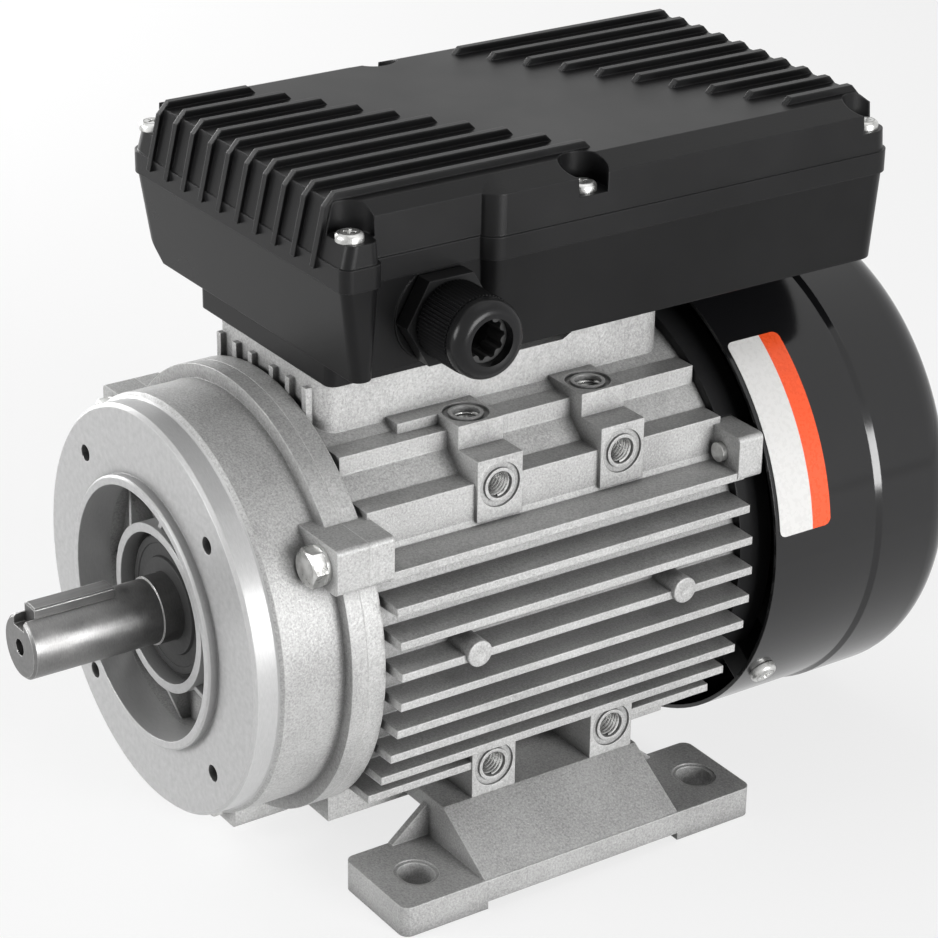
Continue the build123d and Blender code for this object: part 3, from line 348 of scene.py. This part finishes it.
castFrame = castAluminium("castFrame", 0.42)
castShield = castAluminium("castShield", 0.39, 0.9, 0.0005, True)
castFoot = castAluminium("castFoot", 0.35, 1.1)
shaftSteel = groundSteel("shaftSteel", 0.2, 0.36, "ring")
keySteel = groundSteel("keySteel", 0.14, 0.38, "Y")
zinc = zincSteel("zincSteel")
boxPlastic = mouldedPlastic("boxPlastic", 0.006, 0.3, 0.6)
lidPlastic = mouldedPlastic("lidPlastic", 0.008, 0.34, 1.0)
glandPlastic = mouldedPlastic("glandPlastic", 0.009, 0.38, 1.0, 0.0004)
cowlPaint = glossPaint("cowlPaint")
shieldPaint = mouldedPlastic("rearShieldPaint", 0.014, 0.34, 1.4)
fanPlastic = mouldedPlastic("fanPlastic", 0.02, 0.45)
blackRubber = rubber("blackRubber")
copper = copperWindings("copperWindings")
coreSteel = laminations("coreSteel")
cage = castAluminium("rotorCage", 0.6)
bearingSteel = plainMetal("bearingSteel", (0.55, 0.55, 0.54), 0.2)
clipSteel = plainMetal("clipSteel", (0.5, 0.5, 0.47), 0.3)
brass = plainMetal("brassStuds", (0.72, 0.48, 0.18), 0.28)
bronze = plainMetal("contactBronze", (0.6, 0.36, 0.18), 0.3)
board = mouldedPlastic("boardPlastic", 0.1, 0.45, 1.0, 0.0004, (1.6, 0.7, 0.35))
capBlack = mouldedPlastic("startCapacitorCase", 0.02, 0.25)
capWhite = mouldedPlastic("runCapacitorCase", 0.62, 0.3)
sleeve = mouldedPlastic("leadCovers", 0.5, 0.6, 2.0, 0.0004, (1.05, 1, 0.85))
nylon = mouldedPlastic("governorNylon", 0.6, 0.4, 0.5, 0.0004, (1.05, 1, 0.88))
label = labelFilm("labelFilm", labelLook)

finishes = {
    "cast_frame": castFrame,
    "cast_shields": castShield,
    "cast_feet": castFoot,
    "rear_shield_paint": shieldPaint,
    "zinc_fasteners": zinc,
    "laminations": coreSteel,
    "windings": copper,
    "shaft_steel": shaftSteel,
    "key_steel": keySteel,
    "rotor_cage": cage,
    "bearing_steel": bearingSteel,
    "black_rubber": blackRubber,
    "fan_plastic": fanPlastic,
    "cowl_paint": cowlPaint,
    "label_film": label,
    "box_plastic": boxPlastic,
    "lid_plastic": lidPlastic,
    "start_capacitor_case": capBlack,
    "run_capacitor_case": capWhite,
    "clip_steel": clipSteel,
    "board_plastic": board,
    "brass_studs": brass,
    "gland_plastic": glandPlastic,
    "lead_covers": sleeve,
    "governor_plastic": nylon,
    "contact_bronze": bronze,
}

slotOf = {part["node"]: part["material_slot"] for part in frame["record"]["subparts"]}
for nodeName, node in frame["nodes"].items():
    node.data.materials.clear()
    node.data.materials.append(finishes[slotOf[nodeName]].data)
print("finishes on", len(slotOf), "nodes")

# details modelled

nearly = 1e-6  # metres, for picking by place
slitLook = {"width": 0.0009, "height": 0.0022, "sunk": 0.0004}
lidScrewLook = {
    "radius": 0.0039,
    "height": 0.0024,
    "recess": 0.0042,
    "middle": 0.0085,  # y of the middle pair
}
cowlScrewLook = {
    "radius": 0.0042,
    "height": 0.0026,
    "recess": 0.0044,
    "angles": (-34, 86, 206),  # degrees round the shaft
    "along": 0.0747,
    "away": 0.0745,
}
threadLook = {
    "radius": 0.00398,
    "depth": 0.0005,
    "pitch": 0.00125,
    "turns": 6,
    "start": 0.0003,
    "along": (-0.0185, 0.0235),
    "up": (0.038, 0.1365),  # x and z of the holes that face up
    "out": ((0.0555, 0.121), (0.055, 0.0314)),  # and of those that face the side
}
nutLook = {
    "place": (0.0609, -0.0386, 0.1763),  # back face of the gland nut, on its axis
    "teeth": 66,
    "grip": 0.0113,
    "gripLength": 0.0129,
    "gripWall": 0.0009,
    "tooth": 0.94,
    "dome": 0.0110,
    "domeFrom": 0.0132,
    "length": 0.0191,
    "rounding": 0.0034,
    "edge": 0.0005,
    "lip": 0.0009,
    "lipSunk": 0.0003,
    "bore": 0.0066,
    "mouth": 0.0045,
    "skirt": (0.0006, 0.001),
}
insertLook = {"sunk": 0.0034, "length": 0.007, "wall": 0.0007, "lobes": 10, "reach": 0.84, "hole": 0.0068}
pinLook = {
    "radius": 0.0039,
    "tip": 0.0734,
    "length": 0.009,
    "edge": 0.0003,
    "dimple": 0.0013,
    "dimpleDepth": 0.00033,
    "along": (-0.0364, 0.0344),
    "level": 0.0812,
}
sealLook = {
    "radius": 0.0207,
    "bore": 0.01003,
    "front": -0.0935,
    "depth": 0.0024,
    "edge": 0.0008,
    "rings": ((0.0016, 0), (0.0006, -0.0009), (0.0028, 0), (0.0006, 0.0014), (0.0016, 0)),  # width, step
}


def startPiece(name, kind, **where):
    if bpy.context.mode != "OBJECT":
        bpy.ops.object.mode_set(mode="OBJECT")
    bpy.ops.object.select_all(action="DESELECT")
    getattr(bpy.ops.mesh, f"primitive_{kind}_add")(**where)
    piece = bpy.context.object
    piece.name = name
    bpy.ops.object.transform_apply(location=True, rotation=True, scale=True)
    return piece


def startRound(name, sides, radius, low, high):  # a cylinder along Z
    middle = (0, 0, (low + high) / 2)
    return startPiece(name, "cylinder", vertices=sides, radius=radius, depth=high - low, location=middle)


def edit():
    bpy.ops.object.mode_set(mode="EDIT")


def leave():
    bpy.ops.object.mode_set(mode="OBJECT")


def pick(test, kind="faces"):
    edit()
    mesh = bpy.context.object.data
    bpy.ops.mesh.select_mode(type={"faces": "FACE", "edges": "EDGE", "verts": "VERT"}[kind])
    bpy.ops.mesh.select_all(action="DESELECT")
    shape = bmesh.from_edit_mesh(mesh)
    for item in getattr(shape, kind):
        if test(item):
            item.select_set(True)
    shape.select_flush_mode()
    bmesh.update_edit_mesh(mesh)


def topCap(face):
    return face.normal.z > 0.99 and len(face.verts) > 6


def underCap(face):
    return face.normal.z < -0.99 and len(face.verts) > 6


def eitherCap(face):
    return topCap(face) or underCap(face)


def pickRim(level):  # the edges of a round piece at its top
    pick(lambda e: all(v.co.z > level - nearly for v in e.verts), "edges")


def bevel(offset, segments):
    bpy.ops.mesh.bevel(offset=offset, segments=segments, profile=0.5, affect="EDGES")


def inset(thickness):
    bpy.ops.mesh.inset(thickness=thickness)


def extrude(height):
    bpy.ops.mesh.extrude_region_move(TRANSFORM_OT_translate={"value": (0, 0, height)})


def widen(factor):  # about the piece's axis
    bpy.ops.transform.resize(value=(factor, factor, 1), center_override=(0, 0, 0))


def openThrough():  # joins the holes that both caps leave
    pick(eitherCap)
    bpy.ops.mesh.delete(type="FACE")
    pick(lambda e: e.is_boundary, "edges")
    bpy.ops.mesh.bridge_edge_loops()


def smooth(degrees):
    leave()
    bpy.ops.object.shade_smooth_by_angle(angle=radians(degrees))


def applied(kind, **settings):
    leave()
    piece = bpy.context.object
    made = piece.modifiers.new(kind.lower(), kind)
    for key, value in settings.items():
        setattr(made, key, value)
    bpy.ops.object.modifier_apply(modifier=made.name)


def cutBy(piece, cutter):
    leave()
    bpy.ops.object.select_all(action="DESELECT")
    bpy.context.view_layer.objects.active = piece
    piece.select_set(True)
    applied("BOOLEAN", object=cutter, operation="DIFFERENCE", solver="EXACT")
    bpy.data.objects.remove(cutter)


def finishPiece(piece, mat, body, slotName, *nodes):
    leave()
    piece.data.materials.clear()
    piece.data.materials.append(mat.data)
    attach(piece, body)
    if nodes:
        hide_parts(*nodes)


def copyTo(piece, name, matrix):
    made = piece.copy()
    made.data = piece.data.copy()
    made.name = name
    made.data.transform(matrix)
    bpy.context.scene.collection.objects.link(made)
    return made


def joinAll(name, pieces):
    bpy.ops.object.select_all(action="DESELECT")
    for piece in pieces:
        piece.select_set(True)
    bpy.context.view_layer.objects.active = pieces[0]
    bpy.ops.object.join()
    pieces[0].name = name
    return pieces[0]


def at(x, y, z):
    return Matrix.Translation((x, y, z))


def outward(side):  # turns a piece that points up to the right, 1, or left, -1
    return Matrix.Rotation(side * pi / 2, 4, "Y")


def crossScrew(name, look):
    top, radius = look["height"], look["radius"]
    piece = startRound(name, 40, radius, 0, top)
    pick(topCap)
    inset(radius * 0.3)

    def onRim(e):
        return all(abs(v.co.z - top) < nearly and v.co.xy.length > radius * 0.9 for v in e.verts)

    pick(onRim, "edges")
    bevel(top * 0.55, 5)
    for angle in (0, 90):
        size = (look["recess"], slitLook["width"], slitLook["height"])
        slit = startPiece("slit", "cube", size=1, location=(0, 0, top - slitLook["sunk"]), scale=size)
        pick(lambda f: f.normal.z < -0.9)
        bpy.ops.transform.resize(value=(0.45, 0.6, 1))
        leave()
        slit.data.transform(Matrix.Rotation(radians(angle), 4, "Z"))
        cutBy(piece, slit)
    smooth(32)
    return piece


def placeLidScrews():
    look = lidScrewLook
    first = crossScrew("lidScrew", look)
    low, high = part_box("lid_screws")
    seat, r = high[2] - look["height"], look["radius"]
    rows = (low[1] + r, look["middle"], high[1] - r)
    copies = []
    for i, x in enumerate((low[0] + r, high[0] - r)):
        for j, y in enumerate(rows):
            turn = Matrix.Rotation(radians(17 + 41 * (i * 3 + j)), 4, "Z")
            copies.append(copyTo(first, f"lidScrew_{i}{j}", at(x, y, seat) @ turn))
    bpy.data.objects.remove(first)
    screws = joinAll("lidScrewHeads", copies)
    finishPiece(screws, zinc, "frame", "zinc_fasteners", "lid_screws")


def placeCowlScrews():
    look = cowlScrewLook
    first = crossScrew("cowlScrew", look)
    copies = []
    for i, angle in enumerate(look["angles"]):
        spot = at(0, look["along"], shaftHeight) @ Matrix.Rotation(radians(-angle), 4, "Y")
        spot = spot @ at(look["away"], 0, 0) @ outward(1) @ Matrix.Rotation(radians(25 + 50 * i), 4, "Z")
        copies.append(copyTo(first, f"cowlScrew_{i}", spot))
    bpy.data.objects.remove(first)
    screws = joinAll("cowlScrewHeads", copies)
    finishPiece(screws, zinc, "frame", "zinc_fasteners", "cowl_screws")


def threadHole(name, look, matrix):
    piece = startPiece(name, "plane", size=1)
    r, half, cut = look["radius"], look["pitch"] * 0.42, look["depth"]
    corners = ((r, -half), (r - cut, -half * 0.25), (r, half), (r - cut, half * 0.25))
    for vert, (x, z) in zip(piece.data.vertices, corners):
        vert.co = (x, 0, z)
    pick(lambda f: True)
    bpy.ops.mesh.delete(type="ONLY_FACE")
    pick(lambda e: all(v.co.x > r - cut / 2 for v in e.verts), "edges")
    bpy.ops.mesh.delete(type="EDGE")
    around = {"steps": 28, "render_steps": 28, "axis": "Z", "use_smooth_shade": True}
    applied("SCREW", iterations=look["turns"], screw_offset=-look["pitch"], **around)
    piece.data.transform(matrix @ at(0, 0, -look["start"] - look["pitch"]))
    return piece


def placeThreads():
    look = threadLook
    x, z = look["up"]
    spots = []
    for y in look["along"]:
        for side in (1, -1):
            spots.append(at(side * x, y, z))
            spots += [at(side * away, y, level) @ outward(side) for away, level in look["out"]]
    pieces = [threadHole(f"thread_{i}", look, spot) for i, spot in enumerate(spots)]
    threads = joinAll("blockThreads", pieces)
    edit()
    bpy.ops.mesh.select_all(action="SELECT")
    bpy.ops.mesh.normals_make_consistent(inside=True)
    finishPiece(threads, threadMetal, "frame", "cast_frame")


def gripBarrel(look):
    piece = startRound("gripBarrel", look["teeth"] * 2, look["grip"], 0, look["gripLength"])
    step = pi / look["teeth"]
    pick(lambda v: round(atan2(v.co.y, v.co.x) / step) % 2, "verts")
    widen(look["tooth"])
    for cap in (topCap, underCap):
        pick(cap)
        inset(look["gripWall"])
    openThrough()
    smooth(20)
    return piece


def domedEnd(look):
    low, high = look["domeFrom"], look["length"]
    piece = startRound("domedEnd", 96, look["dome"], low, high)
    pickRim(high)
    bevel(look["rounding"], 9)
    pick(lambda e: all(v.co.z < low + nearly for v in e.verts), "edges")
    bevel(look["edge"], 3)
    pick(topCap)
    inset(look["lip"])
    bpy.ops.transform.translate(value=(0, 0, -look["lipSunk"]))
    inset(look["dome"] - look["rounding"] - look["lip"] - look["bore"])
    extrude(-look["mouth"])
    pick(underCap)
    wall, height = look["skirt"]
    inset(wall)
    extrude(-height)
    openThrough()
    smooth(38)
    return piece


def splinedInsert(look, bore, tip):
    top = tip - look["sunk"]
    count = look["lobes"] * 4
    piece = startRound("splinedInsert", count, bore + 0.00001, top - look["length"], top)
    pick(topCap)
    inset(look["wall"])
    step = 2 * pi / count
    inner = bore - look["wall"] / 2

    def onLobe(v):
        turned = round(atan2(v.co.y, v.co.x) / step) % 4
        return v.co.z > top - nearly and v.co.xy.length < inner and turned < 2

    pick(onLobe, "verts")
    widen(look["reach"])
    pick(topCap)
    extrude(-look["hole"])
    openThrough()
    smooth(30)
    return piece


def placeGlandNut():
    look = nutLook
    turn = at(*look["place"]) @ outward(1)
    insert = splinedInsert(insertLook, look["bore"], look["length"])
    insert.data.transform(turn)
    finishPiece(insert, blackRubber, "frame", "black_rubber")
    nut = joinAll("glandNut", [domedEnd(look), gripBarrel(look)])
    nut.data.transform(turn)
    finishPiece(nut, nutPlastic, "frame", "gland_plastic", "gland_nut")


def placePins():
    look = pinLook
    first = startRound("locatingPin", 44, look["radius"], -look["length"], 0)
    pickRim(0)
    bevel(look["edge"], 3)
    pick(topCap)
    inset(look["radius"] - look["edge"] - look["dimple"])
    inset(look["dimple"] * 0.7)
    bpy.ops.transform.translate(value=(0, 0, -look["dimpleDepth"]))
    smooth(30)
    pins = []
    for side in (1, -1):
        for y in look["along"]:
            spot = at(side * look["tip"], y, look["level"]) @ outward(side)
            pins.append(copyTo(first, f"pin_{side}_{y}", spot))
    bpy.data.objects.remove(first)
    finishPiece(joinAll("locatingPins", pins), castFrame, "frame", "cast_frame")


def placeSealCover():
    look = sealLook
    piece = startRound("sealCover", 96, look["radius"], -look["depth"], 0)
    pickRim(0)
    bevel(look["edge"], 4)
    pick(topCap)
    for width, step in look["rings"]:
        inset(width)
        bpy.ops.transform.translate(value=(0, 0, step))
    reach = look["radius"] - look["edge"] - sum(width for width, step in look["rings"])
    widen(look["bore"] / reach)
    pick(underCap)
    inset(look["radius"] - look["bore"])
    openThrough()
    smooth(35)
    piece.data.transform(at(0, look["front"], shaftHeight) @ Matrix.Rotation(pi / 2, 4, "X"))
    finishPiece(piece, blackRubber, "rotor", "black_rubber")


threadMetal = plainMetal("threadMetal", (0.7, 0.7, 0.69), 0.24, 0.85)
nutPlastic = mouldedPlastic("nutPlastic", 0.012, 0.26, 0.4, 0.0002)
placeLidScrews()
placeCowlScrews()
placeThreads()
placeGlandNut()
placePins()
placeSealCover()
print("screws, threads and gland nut modelled")

# studio

studio = {
    "floor": (0.86, 0.86, 0.86),
    "glow": 0.75,  # how far the floor in view fades to white
    "world": 0.12,  # strength of its light on the motor
    "lamps": {  # place, aim, size, watts
        "keyLamp": ((-0.35, -1.3, 0.5), (0, -0.05, 0.1), 0.6, 13),
        "sideLamp": ((1.45, 0.25, 0.3), (0, 0, 0.08), 0.7, 25.5),
        "topLamp": ((0.15, 0.3, 1.6), (0, 0, 0.15), 1.1, 2.5),
        "backLamp": ((-1.25, -0.1, 0.4), (0, 0.05, 0.1), 0.7, 12),
    },
}


def seenDirectly(tree):  # 1 where the camera, a gloss or glass looks at it
    path = tree.nodes.new("ShaderNodeLightPath")
    seen = path.outputs["Is Camera Ray"]
    for ray in ("Is Glossy Ray", "Is Transmission Ray"):
        most = tree.nodes.new("ShaderNodeMath")
        most.operation = "MAXIMUM"
        tree.links.new(seen, most.inputs[0])
        tree.links.new(path.outputs[ray], most.inputs[1])
        seen = most.outputs[0]
    return seen


def addFloor(setup):
    bpy.ops.mesh.primitive_plane_add(size=12, location=(0, 0, -0.0002))
    floor = bpy.context.object
    floor.name = "studioFloor"
    mat = Finish("floorPaper", Roughness=0.85)
    tone = mat.noise(3, 2)
    mat.feed("Base Color", mat.mix(tone, shade(0.985, setup["floor"]), setup["floor"]))
    glow = mat.tree.nodes.new("ShaderNodeEmission")
    blend = mat.tree.nodes.new("ShaderNodeMixShader")
    share = Wire(mat, seenDirectly(mat.tree)) * setup["glow"]
    for socket, end in ((share.socket, 0), (mat.shader.outputs[0], 1), (glow.outputs[0], 2)):
        mat.tree.links.new(socket, blend.inputs[end])
    mat.tree.links.new(blend.outputs[0], mat.tree.nodes["Material Output"].inputs["Surface"])
    floor.data.materials.append(mat.data)


def addWorld(setup):
    world = bpy.data.worlds.new("studioWorld")
    bpy.context.scene.world = world
    world.use_nodes = True
    tree = world.node_tree
    sky = tree.nodes["Background"]
    level = tree.nodes.new("ShaderNodeMapRange")
    level.inputs["To Min"].default_value = setup["world"]
    level.inputs["To Max"].default_value = 1.0
    tree.links.new(seenDirectly(tree), level.inputs["Value"])
    tree.links.new(level.outputs[0], sky.inputs["Strength"])
    sky.inputs["Color"].default_value = (1, 1, 1, 1)


def addLamps(setup):
    for name, (place, aim, size, watts) in setup["lamps"].items():
        bpy.ops.object.light_add(type="AREA", location=place)
        lamp = bpy.context.object
        lamp.name = name
        lamp.data.size = size
        lamp.data.energy = watts
        lamp.rotation_euler = (Vector(aim) - Vector(place)).to_track_quat("-Z", "Y").to_euler()


addFloor(studio)
addWorld(studio)
addLamps(studio)
bpy.context.scene.view_settings.view_transform = "Standard"
print("studio lit")
